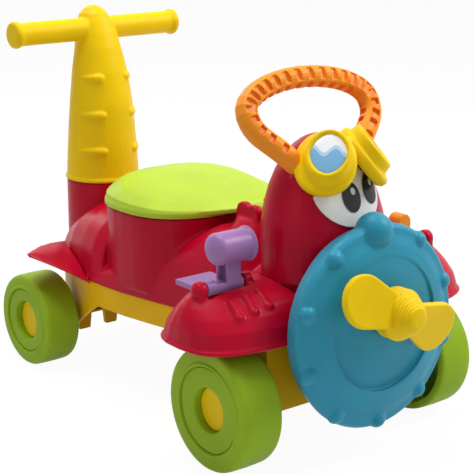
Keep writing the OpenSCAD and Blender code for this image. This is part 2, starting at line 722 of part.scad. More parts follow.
module lever_pin(side) framed() color("silver") sided(side)
  along_x(ear_in_x + 2.2, lever_y, lever_z) cylinder(h = ear_out_x - ear_in_x - 4.4, r = pin_r);
module lever_pin_right() lever_pin(right);
module lever_pin_left() lever_pin(left);

// Tail fins

fin_front = [95, wheelbase - 96, 116];
fin_rear = [66, wheelbase + 12, 150];
fin_tip = [160, wheelbase - 25, 155];
fin_t = 9;
fin_n = 9;
fin_edge = 0.2;
function leaf(i) = fin_edge + (1 - fin_edge) * sin(180 * i / fin_n);
function fin_ring(s) = let (a = mix(fin_front, fin_tip, s) + [0, -8, 2] * sin(180 * s),
    b = mix(fin_rear, fin_tip, s) + [4, 5, 4] * sin(180 * s), t = fin_t * (1 - 0.75 * s))
  concat([for (i = [0:fin_n]) mix(a, b, i / fin_n) + [0, 0, t * leaf(i)]],
    [for (i = [fin_n:-1:0]) mix(a, b, i / fin_n) - [0, 0, 0.5 * t * leaf(i)]]);
module tail_fin(side) framed() color("crimson") sided(side) difference() {
  loft([for (s = [-0.25, 0, 0.2, 0.4, 0.6, 0.8, 0.95]) fin_ring(s)]);
  linear_extrude(reach) tray_plan(-tray_inset - skin_gap);
}
module tail_fin_right() tail_fin(right);
module tail_fin_left() tail_fin(left);

// Head

function head_f(z) = z < head_mid_z ? 1 : sqrt(max(0, 1 - pow((z - head_mid_z) / head_h, 2)));
function head_axis(z) = head_y + head_lean * (z - head_mid_z - 30);
head_steps = [0, 9, 18, 27, 36, 46, 56, 66, 75, 82, 87];
function head_rings(grow) = concat([flat_ring(head_a + grow, head_b + grow, 2, [0, head_axis(head_deck_z)], head_deck_z)],
  [for (t = head_steps) let (z = head_mid_z + (head_h + grow) * sin(t))
    flat_ring((head_a + grow) * cos(t), (head_b + grow) * cos(t), 2, [0, head_axis(z)], z)]);
module head_solid(grow) loft(head_rings(grow));
function reversed(v) = [for (i = [len(v) - 1:-1:0]) v[i]];

// Middle line of the hand loop, from one foot over the top to the other
function bezier(p, t) = pow(1 - t, 3) * p[0] + 3 * pow(1 - t, 2) * t * p[1] + 3 * (1 - t) * t * t * p[2] + pow(t, 3) * p[3];
loop_low = [loop_base + [9.5, 10], loop_base + [31, 32], [loop_hw, loop_side_z - 21], [loop_hw, loop_side_z]];
loop_high = [[loop_hw, loop_side_z], [loop_hw, loop_side_z + 17.5], [loop_hw * 0.55, loop_top_z], [0, loop_top_z]];
loop_half = concat([loop_base], [for (t = [0:0.125:0.9]) bezier(loop_low, t)], [for (t = [0:0.125:0.9]) bezier(loop_high, t)]);
loop_plan = concat(loop_half, [[0, loop_top_z]], [for (p = reversed(loop_half)) [-p[0], p[1]]]);
loop_path = [for (p = loop_plan) [p[0], loop_y + tan(loop_lean) * (p[1] - loop_mid_z), p[1]]];
loop_side = [0, cos(loop_lean), -sin(loop_lean)];
loop_sides = 16;
function loop_ring(i) = let (n = len(loop_path), a = loop_path[max(0, i - 1)], b = loop_path[min(n - 1, i + 1)], d = unit(b - a))
  [for (k = [0:loop_sides - 1]) let (t = 360 * k / loop_sides)
    loop_path[i] + loop_r * (cos(t) * cross(d, loop_side) + sin(t) * loop_side)];
loop_dir = unit(loop_path[1] - loop_path[0]);
module at_loop_foot(side) translate([side * loop_path[0][0], loop_path[0][1], loop_path[0][2]])
  rotate([0, acos(loop_dir[2]), atan2(loop_dir[1], side * loop_dir[0])]) children();

module head_shell() framed() color("crimson") difference() {
  union() {
    cup(head_rings(0), reversed(head_rings(-wall)));
    difference() {
      for (side = [right, left]) at_loop_foot(side) translate([0, 0, -26]) cylinder(h = 26, r = collar_r);
      head_solid(-wall - 2);
    }
    // Screw bosses, with a rib to the wall
    for (side = [right, left], end = [-1, 1]) translate([side * head_screw_x, head_base_y + end * head_screw_in, head_deck_z]) {
      cylinder(h = 16, r = 6);
      translate([-2, end > 0 ? 0 : -14, 0]) cube([4, 14, 16]);
    }
  }
  for (side = [right, left], y = head_screw_ys) translate([side * head_screw_x, y, head_deck_z - 1])
    cylinder(h = 14, r = screw_r + run_gap);
  translate([0, 0, -reach + head_deck_z]) cube(2 * [reach, reach, 0] + [0, 0, reach], center = false);
}
// Pockets in the front and in the inside of the loop: the two path points that each lies between
loop_pockets = concat([for (i = [1:2:7]) [i, i + 2]], [for (i = [9:16]) [i, i + 1]]);
pocket_len = 7.5;
pocket_hw = 5;
pocket_wide_hw = 7;
pocket_wide_from = 9;
pocket_deep = 4.2;
module at_pocket(p) {
  a = loop_path[p[0]];
  b = loop_path[p[1]];
  d = unit(b - a);
  n = -cross(d, loop_side);
  c = (a + b) / 2;
  multmatrix([[d[0], n[0], loop_side[0], c[0]], [d[1], n[1], loop_side[1], c[1]], [d[2], n[2], loop_side[2], c[2]]]) children();
}
module pocket_cuts() for (p = loop_pockets) let (hw = p[0] < pocket_wide_from ? pocket_hw : pocket_wide_hw) at_pocket(p) {
  translate([-pocket_len / 2, -hw, -loop_r - 2]) cube([pocket_len, 2 * hw, pocket_deep + 2]);
  translate([-pocket_len / 2, -loop_r - 2, -hw]) cube([pocket_len, pocket_deep + 2, 2 * hw]);
}
module hand_loop() framed() color("orange") difference() {
  loft([for (i = [0:len(loop_path) - 1]) loop_ring(i)]);
  head_solid(skin_gap);
  for (side = [right, left]) sided(side) pocket_cuts();
}

// Patch lying on the front of the head: middle x and z, half width, half heights below and above,
// narrowing of its top, shares of its rings, distance off the head and thickness
function front_y(x, z, off) = let (q = 1 - pow(x / (head_a + off), 2) - pow((z - head_mid_z) / (head_h + off), 2))
  head_axis(z) - (head_b + off) * sqrt(max(0.001, q));
patch_n = 32;
plate_rings = [0.09, 0.28, 0.5, 0.72, 0.88, 1];
pupil_rings = [0.15, 0.6, 1];
function patch_ring(x, z, hw, hh, top, narrow, f, off) = [for (i = [0:patch_n - 1]) let (t = 360 * i / patch_n,
    px = x + f * hw * cos(t) * (1 - narrow * max(0, sin(t))), pz = z + f * (sin(t) > 0 ? top : hh) * sin(t)) [px, front_y(px, pz, off), pz]];
module patch(x, z, hw, hh, top, narrow, rings, off, t) cup(
  [for (f = reversed(rings)) patch_ring(x, z, hw, hh, top, narrow, f, off + t)],
  [for (f = rings) patch_ring(x, z, hw, hh, top, narrow, f, off)]);

module pupil(side, grow, off, t) patch(side * pupil_x + pupil_shift, pupil_z + side * 2,
  pupil_hw + grow, pupil_hh + grow, pupil_hh + grow, 0, pupil_rings, off, t);
module eye_plate() framed() color("white") patch(0, plate_mid_z, plate_hw, plate_hh, plate_up, plate_narrow, plate_rings, plate_gap, plate_t);
module pupils() framed() color("black") for (side = [right, left])
  pupil(side, 0, plate_gap + plate_t + skin_gap, pupil_t);

// Goggles: two cups that look out to the sides, and a bridge
module at_lens(side) translate([side * lens_mid[0], lens_mid[1], lens_mid[2]])
  rotate([0, acos(cup_axis[2] / norm(cup_axis)), atan2(cup_axis[1], side * cup_axis[0])]) children();
function lens_ring(grow, z) = flat_ring(lens_tall * lens_r + grow, lens_wide * lens_r + grow, lens_shape, [0, 0], z);
// Cups lean out and down towards the brim, and are deeper on their outer side
function cup_ring(side, grow, deep) = let (f = deep / brim_h)
  [for (p = lens_ring(grow, 0)) p + [f * cup_skew[0], f * side * cup_skew[1], -deep * (1 + cup_tilt * side * p[1] / lens_r)]];
module goggles() framed() color("gold") difference() {
  union() {
    for (side = [right, left]) at_lens(side) loft([cup_ring(side, cup_rim + cup_flare + brim_out, cup_depth),
      cup_ring(side, cup_rim + cup_flare + brim_out, brim_h), cup_ring(side, cup_rim + cup_flare, brim_h - 3),
      cup_ring(side, cup_rim + 1, 3), cup_ring(side, cup_rim - 1, 0)]);
    along_x(-20, lens_mid[1] + 6, lens_mid[2] + 6) cylinder(h = 40, r = 9);
  }
  head_solid(skin_gap);
  patch(0, plate_mid_z, plate_hw + 0.6, plate_hh + 0.6, plate_up + 0.6, plate_narrow, plate_rings, -0.5, plate_gap + plate_t + skin_gap + 0.5);
  for (side = [right, left]) {
    pupil(side, 0.6, -0.5, plate_gap + plate_t + pupil_t + 2 * skin_gap + 0.5);
    at_loop_foot(side) translate([0, 0, -50]) cylinder(h = 120, r = collar_r + side_gap);
  }
  translate([-reach, -reach, 0]) cube([2 * reach, 2 * reach, goggle_low_z]);
  translate([-reach, 30, 0]) cube(2 * [reach, reach, reach]);
  for (side = [right, left]) at_lens(side) translate([0, 0, -lens_sink - lens_t]) loft([lens_ring(run_gap, 0), lens_ring(run_gap, 20)]);
}
module lens(side) framed() color("lightblue") at_lens(side)
  loft([lens_ring(0, -lens_sink - lens_t), lens_ring(0, -lens_sink)]);
module lens_right() lens(right);
module lens_left() lens(left);

// Nose disc, turned about an axis that leans back a little

module at_disc() translate([0, disc_wide_y, disc_z]) rotate([90 - disc_lean, 0, 0]) children();
disc_dome = [[0, 30], [24, 29.5], [48, 27], [66, 23.8], [80, 20.8], [92, 17.6], [103, 12.8]];
disc_rim = concat([for (t = [60:-20:-40]) [disc_r - 10 + 10 * cos(t), 3 + 10 * sin(t)]],
  [[disc_r - 8, disc_wide_y - disc_back_y]]);
disc_bumps = [for (a = [36:36:324]) a];
bump_ring = disc_r - 9;
bump_r = 11;
bump_mid = 6.5;
// Mouth: a round field sunk deepest at its lower edge
mouth_r = 75;
mouth_up = 6;
mouth_top_sink = 0.8;
mouth_tilt = 2.4;
module dome(inset) rotate_extrude() polygon(concat([for (p = disc_dome) [p[0], p[1] - inset]],
  [for (i = [0:3]) disc_rim[i] - [inset, inset]],
  [[disc_r - 8 - inset, disc_wide_y - disc_back_y - (inset > 0 ? 1 : 0)], [0, disc_wide_y - disc_back_y - (inset > 0 ? 1 : 0)]]));
module disc_form(inset) difference() {
  dome(inset);
  difference() {
    translate([0, mouth_up, 0]) cylinder(h = 60, r = mouth_r + inset);
    translate([0, mouth_up + mouth_r, -mouth_top_sink]) rotate([mouth_tilt, 0, 0]) translate([0, -mouth_up - mouth_r, 0]) dome(inset);
  }
}
nose_r = 21;
module nose_disc() framed() color("steelblue") difference() {
  union() {
    at_disc() {
      difference() {
        disc_form(0);
        disc_form(wall);
      }
      for (a = disc_bumps) rotate(90 + a) translate([bump_ring, 0, bump_mid]) difference() {
        sphere(r = bump_r);
        translate([0, 0, -bump_r]) cube(2 * [bump_r, bump_r, bump_r], center = true);
      }
    }
    difference() {
      translate([0, disc_wide_y, disc_z + disc_r - 9]) sphere(r = nose_r);
      translate([-50, disc_wide_y - 50, disc_z]) cube([100, 100, disc_r - 20]);
    }
    // Bosses that stand on the body, and the bearing of the propeller
    for (side = [right, left]) along_y(side * bolt_x, deck_front_y, bolt_z) cylinder(h = 47.8, r = 7);
    along_y(0, disc_back_y - 6, prop_z) cylinder(h = disc_back_y - 6 - disc_front_y, r = shaft_d / 2 + 6);
  }
  along_y(0, 0, prop_z) cylinder(h = 200, r = shaft_d / 2 + run_gap);
  for (side = [right, left]) along_y(side * bolt_x, deck_front_y + 1, bolt_z) cylinder(h = 16, r = screw_r + run_gap);
}
module disc_screws() framed() color("dimgray") for (side = [right, left]) {
  along_y(side * bolt_x, deck_front_y + wall, bolt_z) cylinder(h = 15, r = screw_r);
  along_y(side * bolt_x, deck_front_y + wall + screw_head_t, bolt_z) cylinder(h = screw_head_t, r = screw_head_r);
}

// Propeller, turned a little from level

blade_turn = 25;
blade_sweep = 8;
lens_curve = 110;
blade_pitch = 12;
blade_stand = 20;
blade_hw = 29;
blade_t = 9;
prop_back_y = disc_front_y - hub_gap;
hub_ridges = 6;
module blade() {
  mid = [blade_reach - blade_hw, 0];
  rotate([blade_pitch, 0, 0]) intersection() {
    linear_extrude(blade_t, center = true) hull() {
      translate(mid) circle(r = blade_hw, $fn = 48);
      translate([20, 0]) circle(r = blade_hw - 10, $fn = 48);
    }
    for (side = [right, left]) translate([0, 0, side * (lens_curve - blade_t / 2)]) rotate([0, 90, 0])
      cylinder(h = 2 * reach, r = lens_curve, center = true, $fn = 128);
  }
}
module propeller() framed() color("gold") difference() {
  along_y(0, prop_back_y, prop_z) {
    h = prop_back_y - prop_tip_y;
    rotate_extrude() polygon(concat([[0, 0], [hub_base_r, 0]],
      [for (i = [0:hub_ridges - 1]) let (r0 = mix(hub_base_r, hub_tip_r, i / hub_ridges), r1 = mix(hub_base_r, hub_tip_r, (i + 1) / hub_ridges),
          z0 = h * (0.35 + 0.6 * i / hub_ridges), z1 = h * (0.35 + 0.6 * (i + 1) / hub_ridges)) each [[r0, z0], [r1, z1 - 0.8]]],
      [[hub_tip_r, h * 0.97], [hub_tip_r - 4, h], [0, h]]));
    for (a = [0, 180]) rotate(180 - blade_turn + a) translate([0, 0, blade_stand]) rotate([0, blade_sweep, 0]) blade();
  }
  along_y(0, 0, prop_z) cylinder(h = -prop_tip_y - 12, r = shaft_d / 2 + run_gap);
}
clip_t = 2.5;
clip_gap = 0.5;
shaft_back_y = disc_back_y - 6 + clip_gap + clip_t + 1;
module propeller_shaft() framed() color("silver")
  along_y(0, shaft_back_y, prop_z) cylinder(h = shaft_back_y - prop_tip_y - 12.5, r = shaft_d / 2);
module propeller_clip() framed() color("dimgray") along_y(0, shaft_back_y - 1, prop_z) difference() {
  cylinder(h = clip_t, r = shaft_d / 2 + 4);
  translate([0, 0, -1]) cylinder(h = clip_t + 2, r = shaft_d / 2 + run_gap);
}

// Push handle

function column_rings(inset) = [for (i = [0:len(column_stations) - 1]) let (s = column_stations[i],
    top = i == len(column_stations) - 1)
  flat_ring(max(3, s[1] - inset), max(3, s[1] - inset), 2, [0, column_y + s[2]], s[0] - (i > 4 ? inset * i / len(column_stations) : 0))];
bar_y = column_y + 9;
module bar(r) along_x(0, bar_y, bar_z) rotate_extrude() polygon(concat([[0, -bar_hl - 8]],
  [for (s = [1]) each [[r, -bar_hl - 8]]], [[r + 2.5, -bar_hl - 5], [r + 2.5, -bar_hl - 1], [r, -bar_hl + 4], [r, bar_hl - 4],
    [r + 2.5, bar_hl + 1], [r + 2.5, bar_hl + 5], [r, bar_hl + 8], [0, bar_hl + 8]]));
// Drops bent round the column, thick end towards the front: turn from the front, and radius
column_drop_zs = [268, 316, 364];
column_drop_ends = [[24, 2], [26.5, 5], [32, 6.5], [44, 6], [60, 4.8], [76, 3.2], [91, 1.4]];
column_drop_sink = 2.2;
function column_drop_ring(z, a, r) = let (mid = look(column_stations, z, 1) - column_drop_sink) [for (k = [0:7])
  let (d = mid + r * cos(45 * k)) [d * sin(a), -d * cos(a), -r * sin(45 * k)]];
module column_drops() for (side = [right, left], z = column_drop_zs) sided(side)
  translate([0, column_y + look(column_stations, z, 2), z]) loft([for (e = column_drop_ends) column_drop_ring(z, e[0], e[1])]);
module push_handle() framed() color("gold") difference() {
  union() {
    cup(column_rings(0), reversed(column_rings(wall + 0.5)));
    difference() {
      union() {
        bar(bar_r);
        column_drops();
      }
      loft(column_rings(wall / 2));
    }
  }
  along_x(-bar_hl, bar_y, bar_z) cylinder(h = 2 * bar_hl, r = bar_r - wall);
  for (side = [right, left]) rotate_about(side) cylinder(h = 80, r = screw_r + 0.3);
}
module handle_screws() framed() color("dimgray") for (side = [right, left]) rotate_about(side) {
  translate([0, 0, spigot_r - wall]) cylinder(h = 11.5, r = screw_r);
  translate([0, 0, spigot_r - wall + 11.5]) cylinder(h = screw_head_t, r = screw_head_r);
}

// Seat lid, lower in front

seat_wall = 3.5;
seat_z = tub_rim_z + skin_gap;
seat_bead_h = 9;
seat_slope = 0.85;
// Rings of the lid: height, and share of the way from the rim to the crease, then over the crown
function seat_h(t) = t < 1 ? seat_bead_h + 2 + (seat_crease_h - seat_bead_h - 2) * pow(t, 0.8)
  : seat_crease_h + seat_crown_h * (1 - pow(2 - t, 2));
function seat_ring(h, t, grow) = let (rim = tub_hw + seat_overhang, hw = t < 1 ? mix(rim, seat_crease_hw, t) : seat_crease_hw * (2 - t),
    f = hw / rim)
  [for (p = egg_ring(hw + grow, (tub_front + seat_overhang) * f + grow, (tub_rear + seat_overhang) * f + grow, tub_shape, 0))
    [p[0], p[1], seat_z + h + max(0, h - seat_bead_h) * seat_slope * (p[1] - tub_y) / 100]];
seat_steps = [0.12, 0.4, 0.7, 0.92, 1.04, 1.25, 1.5, 1.75, 1.92];
module seat_cap() cup(
  concat([seat_ring(0, 0, -1), seat_ring(2, 0, 0), seat_ring(seat_bead_h - 2, 0, 0), seat_ring(seat_bead_h, 0, -1.5)],
    [for (t = seat_steps) seat_ring(seat_h(t), t, 0)]),
  concat([for (t = reversed(seat_steps)) seat_ring(seat_h(t) - seat_wall, t, t < 1 ? -seat_wall * 0.4 : 0)],
    [seat_ring(0, 0, -seat_overhang - 1)]));
tongue_hw = hinge_ear_x - 1.5;
// Beak that draws the lid out to its hinge: where it starts and its greatest half width
beak_y = hinge_y + 14;
beak_hw = 62;
function beak_ring(hw, y, top) = [[-hw, y, top - 6], [-hw, y, top], [hw, y, top], [hw, y, top - 6]];
module seat_lid() framed() color("greenyellow") difference() {
  union() {
    seat_cap();
    along_x(-tongue_hw, hinge_y, hinge_z) cylinder(h = 2 * tongue_hw, r = pin_r + 5);
    translate([-tongue_hw, hinge_y, hinge_z - 7]) cube([2 * tongue_hw, beak_y - hinge_y + 2, 8]);
    loft([beak_ring(tongue_hw - 0.5, beak_y, hinge_z + 0.5), beak_ring(beak_hw, tub_y - tub_front + 13, hinge_z - 5.5)]);
  }
  along_x(-tongue_hw - 1, hinge_y, hinge_z) cylinder(h = 2 * tongue_hw + 2, r = pin_r + run_gap);
}
module seat_hinge_pin() framed() color("silver")
  along_x(-hinge_pin_hl, hinge_y, hinge_z) cylinder(h = 2 * hinge_pin_hl, r = pin_r);

chassis();
body_shell();
wing_right();
wing_left();
tail_fin_right();
tail_fin_left();
head_shell();
eye_plate();
pupils();
goggles();
lens_right();
lens_left();
hand_loop();
nose_disc();
propeller();
propeller_shaft();
propeller_clip();
push_handle();
seat_lid();
seat_hinge_pin();
lever_right();
lever_left();
lever_pin_right();
lever_pin_left();
wheel_front_right();
wheel_front_left();
wheel_rear_right();
wheel_rear_left();
hub_cap_front_right();
hub_cap_front_left();
hub_cap_rear_right();
hub_cap_rear_left();
front_axle();
rear_axle();
front_bushes();
rear_bushes();
front_push_nuts();
rear_push_nuts();
chassis_screws();
disc_screws();
head_screws();
wing_screws();
handle_screws();
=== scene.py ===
"""Looks of the ride-on airplane toy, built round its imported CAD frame.

The scene is in metres. +Z is up, -Y is the nose, +X is the toy's left side.
"""
import json
import math

import bmesh
import bpy
from mathutils import Matrix, Vector
from mathutils.bvhtree import BVHTree


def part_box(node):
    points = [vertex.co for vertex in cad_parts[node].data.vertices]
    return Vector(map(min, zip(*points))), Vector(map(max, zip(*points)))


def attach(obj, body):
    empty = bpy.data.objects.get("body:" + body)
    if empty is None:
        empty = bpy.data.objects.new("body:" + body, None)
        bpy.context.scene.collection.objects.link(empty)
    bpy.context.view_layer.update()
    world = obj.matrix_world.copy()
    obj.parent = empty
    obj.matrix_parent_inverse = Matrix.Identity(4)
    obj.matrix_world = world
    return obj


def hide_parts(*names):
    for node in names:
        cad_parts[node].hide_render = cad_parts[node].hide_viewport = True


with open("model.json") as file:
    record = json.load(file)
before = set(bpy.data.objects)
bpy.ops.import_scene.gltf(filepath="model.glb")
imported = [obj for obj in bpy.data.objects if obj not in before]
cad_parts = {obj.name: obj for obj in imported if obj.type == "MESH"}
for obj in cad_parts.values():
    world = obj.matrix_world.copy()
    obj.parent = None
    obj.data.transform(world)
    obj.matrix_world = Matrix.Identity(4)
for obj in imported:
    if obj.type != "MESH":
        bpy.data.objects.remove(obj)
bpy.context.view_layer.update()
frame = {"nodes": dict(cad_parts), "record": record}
scene = bpy.context.scene
nodes = frame["nodes"]
node_body = {n: b for b, names in frame["record"]["behaviour"]["bodies"].items() for n in names}

MM = 0.001

# Colours, in sRGB steps
RED = (192, 4, 44)
TEAL = (48, 150, 180)
LIME = (180, 208, 52)
GREEN = (150, 184, 34)
YELLOW = (246, 206, 8)
CHASSIS_YELLOW = (240, 188, 10)
ORANGE = (252, 152, 36)
# Painted shade: the darker orange laid into the recesses of the hand loop's pockets
POCKET_SHADE_ORANGE = (232, 92, 0)
PURPLE = (162, 118, 176)
EYE_WHITE = (242, 242, 240)
PUPIL = (34, 35, 38)
LENS_BLUE = (128, 186, 228)
GLINT_EDGE = (186, 218, 242)
GLINT_BAND = (192, 222, 244)
GLINT_WHITE = (250, 252, 254)
NYLON = (226, 224, 216)
STEEL = (170, 172, 176)
SCREW = (104, 106, 110)
BLACK = (0, 0, 0, 1)
WHITE = (1, 1, 1, 1)


def linear(colour, gain=1.0):
    """sRGB steps as a linear RGBA colour."""
    def channel(v):
        v = min(1.0, v / 255)
        return v / 12.92 if v <= 0.04045 else ((v + 0.055) / 1.055) ** 2.4
    return tuple(min(1.0, channel(v) * gain) for v in colour) + (1.0,)


# Shader nodes

# Colour sockets of a Mix node, whose names repeat
MIX_A, MIX_B = 6, 7


def material(name):
    mat = bpy.data.materials.new(name)
    mat.use_nodes = True
    tree = mat.node_tree
    return mat, tree, tree.nodes["Principled BSDF"]


def add(tree, kind, settings=None, **inputs):
    """New shader node, with its settings and the values of its inputs."""
    node = tree.nodes.new(kind)
    for key, value in (settings or {}).items():
        setattr(node, key, value)
    for key, value in inputs.items():
        node.inputs[key.replace("_", " ")].default_value = value
    return node


def place_on(tree):
    """Coordinates of the piece, in metres."""
    return add(tree, "ShaderNodeTexCoord").outputs["Object"]


def noise(tree, coords, scale, detail=3.0):
    node = add(tree, "ShaderNodeTexNoise", Scale=scale, Detail=detail, Roughness=0.5)
    tree.links.new(coords, node.inputs["Vector"])
    return node.outputs["Fac"]


def ramp(tree, value, stops):
    """Colour ramp with stops of (place, colour)."""
    node = add(tree, "ShaderNodeValToRGB")
    tree.links.new(value, node.inputs["Fac"])
    elements = node.color_ramp.elements
    while len(elements) < len(stops):
        elements.new(0.5)
    for element, (place, colour) in zip(elements, stops):
        element.position = place
        element.color = colour
    return node.outputs["Color"]


def mottled(tree, coords, scale, colour, dark, light):
    """A colour that wanders between a darker and a lighter gain."""
    return ramp(tree, noise(tree, coords, scale), [(0.3, linear(colour, dark)), (0.7, linear(colour, light))])


def spread(tree, value, low, high):
    """Maps a noise value onto a range."""
    node = add(tree, "ShaderNodeMapRange", From_Min=0.3, From_Max=0.7, To_Min=low, To_Max=high)
    tree.links.new(value, node.inputs["Value"])
    return node.outputs["Result"]


def mixed(tree, factor, a, b):
    """Colour mix of two sockets."""
    node = add(tree, "ShaderNodeMix", {"data_type": "RGBA"})
    tree.links.new(factor, node.inputs["Factor"])
    tree.links.new(a, node.inputs[MIX_A])
    tree.links.new(b, node.inputs[MIX_B])
    return next(o for o in node.outputs if o.type == "RGBA")


def bumped(tree, height, strength, distance, normal=None):
    """Normal of a skin with a height in mm."""
    node = add(tree, "ShaderNodeBump", Strength=strength, Distance=distance * MM)
    tree.links.new(height, node.inputs["Height"])
    if normal is not None:
        tree.links.new(normal, node.inputs["Normal"])
    return node.outputs["Normal"]


def math_node(tree, operation, *values):
    """Result of a sum whose terms are sockets or numbers."""
    node = add(tree, "ShaderNodeMath", {"operation": operation})
    for socket, value in zip(node.inputs, values):
        if isinstance(value, (int, float)):
            socket.default_value = value
        else:
            tree.links.new(value, socket)
    return node.outputs[0]


# Materials

# Reach of the painted shade inside the pockets of the hand loop, in mm
POCKET_REACH = 9
PLASTIC_IOR = 1.49
# Half width, half height and soft edge of the white spot in a pupil, in mm and as a share
SPOT_HW, SPOT_HH, SPOT_EDGE = 3.2, 3.8, 0.06
# Grooves over the seat: their number in a metre, and how flat the skin is where they start and are whole
GROOVE_SCALE = 95.0
GROOVE_START, GROOVE_WHOLE = 0.9, 0.97
# Glint on a lens: its waves across the print, their start and their height
GLINT_WAVES, GLINT_START, GLINT_HEIGHT = 10.0, -2.2, 0.1


def plastic(name, colour, roughness=0.36, sheen=0.25, grain=0.05, pocket_shade=None):
    """Moulded plastic: faint streaks of colour, rubbed edges, fine grain and slow waves in the skin; a colour given
    for the pockets paints shade into its recesses.
    """
    mat, tree, shader = material(name)
    coords = place_on(tree)
    tint = mottled(tree, coords, 16, colour, 0.93, 1.05)
    edges = add(tree, "ShaderNodeNewGeometry").outputs["Pointiness"]
    worn = ramp(tree, edges, [(0.52, BLACK), (0.62, (0.22, 0.22, 0.22, 1))])
    base = mixed(tree, worn, tint, mottled(tree, coords, 60, colour, 1.12, 1.3))
    # Painted shade: where ambient occlusion finds the skin enclosed, the colour turns to a darker tint
    if pocket_shade:
        cover = add(tree, "ShaderNodeAmbientOcclusion", {"samples": 8, "only_local": True}, Distance=POCKET_REACH * MM)
        shade = ramp(tree, cover.outputs["AO"], [(0.35, WHITE), (0.8, BLACK)])
        base = mixed(tree, shade, base, mottled(tree, coords, 40, pocket_shade, 0.95, 1.05))
    tree.links.new(base, shader.inputs["Base Color"])
    gloss = spread(tree, noise(tree, coords, 75, 4), roughness - 0.04, roughness + 0.06)
    tree.links.new(gloss, shader.inputs["Roughness"])
    waves = bumped(tree, noise(tree, coords, 22, 1), 0.12, 0.8)
    fine = bumped(tree, noise(tree, coords, 1500, 2), grain, 0.3, waves)
    tree.links.new(fine, shader.inputs["Normal"])
    shader.inputs["IOR"].default_value = PLASTIC_IOR
    shader.inputs["Specular IOR Level"].default_value = sheen
    return mat


def eye_paint(name, colour, spots):
    """Glossy paint of the pupils, with a white spot printed in each."""
    mat = plastic(name, colour, roughness=0.26, sheen=0.3, grain=0.03)
    tree = mat.node_tree
    shader = tree.nodes["Principled BSDF"]
    coords = place_on(tree)
    white = mottled(tree, coords, 120, EYE_WHITE, 0.97, 1.0)
    base = shader.inputs["Base Color"].links[0].from_socket
    for x, z in spots:
        flat = add(tree, "ShaderNodeMapping", Location=(-x * MM / SPOT_HW, 0, -z * MM / SPOT_HH),
                   Scale=(1 / SPOT_HW, 0, 1 / SPOT_HH))
        tree.links.new(coords, flat.inputs["Vector"])
        away = add(tree, "ShaderNodeVectorMath", {"operation": "LENGTH"})
        tree.links.new(flat.outputs["Vector"], away.inputs[0])
        inside = add(tree, "ShaderNodeMapRange", From_Min=(1 + SPOT_EDGE) * MM, From_Max=(1 - SPOT_EDGE) * MM,
                     To_Min=0.0, To_Max=1.0)
        tree.links.new(away.outputs["Value"], inside.inputs["Value"])
        base = mixed(tree, inside.outputs["Result"], base, white)
    tree.links.new(base, shader.inputs["Base Color"])
    return mat


def seat_plastic(name, colour):
    """Plastic of the seat: fine grooves run from front to back over its top."""
    mat = plastic(name, colour, roughness=0.44)
    tree = mat.node_tree
    shader = tree.nodes["Principled BSDF"]
    lines = add(tree, "ShaderNodeTexWave", {"wave_type": "BANDS", "bands_direction": "X", "wave_profile": "SIN"},
                Scale=GROOVE_SCALE, Distortion=0.6, Detail=1.0, Detail_Scale=0.4)
    tree.links.new(place_on(tree), lines.inputs["Vector"])
    facing = add(tree, "ShaderNodeSeparateXYZ")
    tree.links.new(add(tree, "ShaderNodeNewGeometry").outputs["Normal"], facing.inputs[0])
    top = add(tree, "ShaderNodeMapRange", From_Min=GROOVE_START, From_Max=GROOVE_WHOLE, To_Min=0.0, To_Max=1.0)
    tree.links.new(facing.outputs["Z"], top.inputs["Value"])
    height = math_node(tree, "MULTIPLY", lines.outputs["Fac"], top.outputs["Result"])
    before = shader.inputs["Normal"].links[0].from_socket
    tree.links.new(bumped(tree, height, 0.35, 0.5, before), shader.inputs["Normal"])
    return mat


def metal(name, colour, roughness):
    """Turned steel: fine rings of scratches and small stains."""
    mat, tree, shader = material(name)
    coords = place_on(tree)
    tree.links.new(mottled(tree, coords, 120, colour, 0.8, 1.05), shader.inputs["Base Color"])
    stretch = add(tree, "ShaderNodeMapping", Scale=(2600.0, 260.0, 260.0))
    tree.links.new(coords, stretch.inputs["Vector"])
    scratches = noise(tree, stretch.outputs["Vector"], 1.0, 4)
    tree.links.new(spread(tree, scratches, roughness - 0.1, roughness + 0.1), shader.inputs["Roughness"])
    tree.links.new(bumped(tree, scratches, 0.1, 0.2), shader.inputs["Normal"])
    shader.inputs["Metallic"].default_value = 1.0
    return mat


def lens_plastic(name):
    """Printed lens: pale blue, with a white wavy glint over its upper part and a lighter band below it."""
    mat, tree, shader = material(name)
    place = add(tree, "ShaderNodeSeparateXYZ")
    tree.links.new(add(tree, "ShaderNodeTexCoord").outputs["UV"], place.inputs[0])
    across = math_node(tree, "MULTIPLY_ADD", place.outputs["X"], GLINT_WAVES, GLINT_START)
    line = math_node(tree, "MULTIPLY_ADD", math_node(tree, "SINE", across), GLINT_HEIGHT, place.outputs["Y"])
    print_colour = ramp(tree, line, [(0.5, linear(LENS_BLUE)), (0.52, linear(GLINT_EDGE)),
                                     (0.6, linear(GLINT_BAND)), (0.62, linear(GLINT_WHITE))])
    tree.links.new(print_colour, shader.inputs["Base Color"])
    coords = place_on(tree)
    tree.links.new(spread(tree, noise(tree, coords, 90), 0.14, 0.24), shader.inputs["Roughness"])
    tree.links.new(bumped(tree, noise(tree, coords, 40, 1), 0.05, 0.3), shader.inputs["Normal"])
    shader.inputs["Specular IOR Level"].default_value = 0.3
    return mat


# White spots in the pupils, across and up from the middle of both, in mm
SPOTS_FROM_MIDDLE = [(-13.0, 3.9), (19.5, 8.5)]
pupils_low, pupils_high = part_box("pupils")
pupils_middle = (pupils_low + pupils_high) / 2 / MM
eye_spots = [(pupils_middle.x + x, pupils_middle.z + z) for x, z in SPOTS_FROM_MIDDLE]

